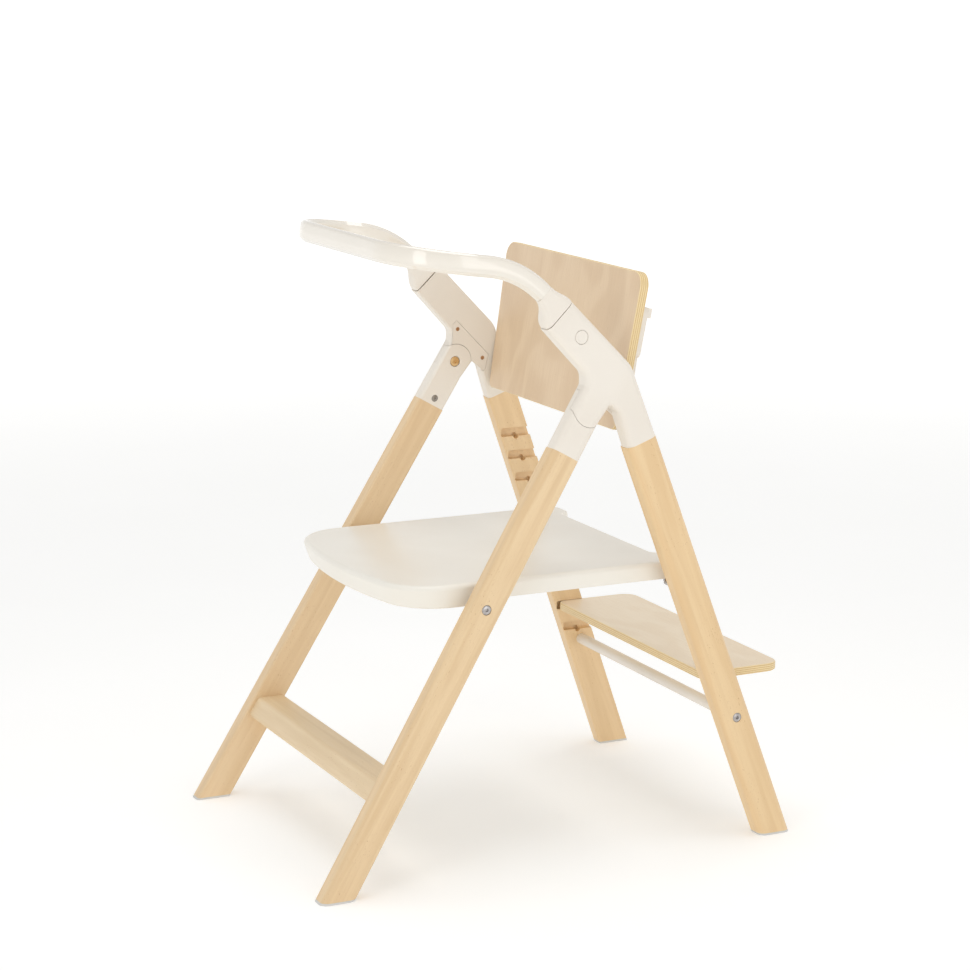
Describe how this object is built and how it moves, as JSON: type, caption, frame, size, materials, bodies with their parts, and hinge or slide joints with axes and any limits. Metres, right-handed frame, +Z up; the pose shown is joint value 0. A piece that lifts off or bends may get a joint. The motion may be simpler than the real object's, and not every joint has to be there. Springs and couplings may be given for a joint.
{
  "type": "baby high chair",
  "caption": "Folding wooden A-frame high chair with plastic hubs, guard ring, standing platform, plywood backrest and a board in grooved rear legs.",
  "frame": {"origin": "centre of the footprint, on the floor", "axes": "+X is the sitter's left, -Y is the way the sitter faces, +Z is up"},
  "size_m": [0.5034, 0.6961, 0.8314],
  "materials": {
    "beech": "clear matt lacquer on beech",
    "plywood": "clear lacquered birch plywood",
    "cream_plastic": "satin moulded plastic",
    "rod_paint": "white powder coat",
    "steel": "zinc plated",
    "brass": "yellow passivated",
    "glide": "pale grey nylon"
  },
  "bodies": {
    "rear_frame": {"rear_leg_left": "beech", "rear_leg_right": "beech", "hub_left": "cream_plastic", "hub_right": "cream_plastic", "hub_cover_left": "cream_plastic", "hub_cover_right": "cream_plastic", "hub_cover_screws": "brass", "pivot_bolts": "brass", "pivot_inserts": "brass", "cross_rod": "rod_paint", "rod_bolts": "steel", "backrest": "plywood", "backrest_carrier": "cream_plastic", "backrest_screws": "steel", "carrier_bolts": "steel", "rest_pegs": "steel", "rear_glides": "glide", "button_springs": "steel"},
    "front_frame": {"front_leg_left": "beech", "front_leg_right": "beech", "leg_cap_left": "cream_plastic", "leg_cap_right": "cream_plastic", "cap_bolts": "steel", "front_stretcher": "beech", "stretcher_dowels": "beech", "front_glides": "glide", "platform_pivot_bolts": "steel", "platform_spacers": "steel", "platform_nuts": "steel"},
    "platform_body": {"platform": "cream_plastic", "platform_rail_left": "steel", "platform_rail_right": "steel", "rail_screws": "steel"},
    "guard_body": {"guard_ring": "cream_plastic", "collar_left": "cream_plastic", "collar_right": "cream_plastic", "ring_tongue_left": "steel", "ring_tongue_right": "steel"},
    "button_left_body": {"release_button_left": "cream_plastic"},
    "button_right_body": {"release_button_right": "cream_plastic"},
    "board_body": {"step_board": "plywood"}
  },
  "joints": [
    {"name": "front_fold", "type": "hinge", "parent": "rear_frame", "child": "front_frame", "pos_m": [0, 0.047, 0.6107], "axis": [1, 0, 0], "range_deg": [0, 50]},
    {"name": "platform_lift", "type": "hinge", "parent": "front_frame", "child": "platform_body", "pos_m": [0, -0.1085, 0.3604], "axis": [1, 0, 0], "range_deg": [0, 34]},
    {"name": "guard_slide", "type": "slide", "parent": "rear_frame", "child": "guard_body", "axis": [0, -0.6947, 0.7193], "range_m": [0, 0.055]},
    {"name": "button_left_press", "type": "slide", "parent": "rear_frame", "child": "button_left_body", "axis": [-1, 0, 0], "range_m": [0, 0.003], "stiffness_N_per_m": 500, "springref_m": -0.002},
    {"name": "button_right_press", "type": "slide", "parent": "rear_frame", "child": "button_right_body", "axis": [1, 0, 0], "range_m": [0, 0.003], "stiffness_N_per_m": 500, "springref_m": -0.002},
    {"name": "board_slide", "type": "slide", "parent": "rear_frame", "child": "board_body", "axis": [0, 1, 0], "range_m": [0, 0.13]}
  ]
}
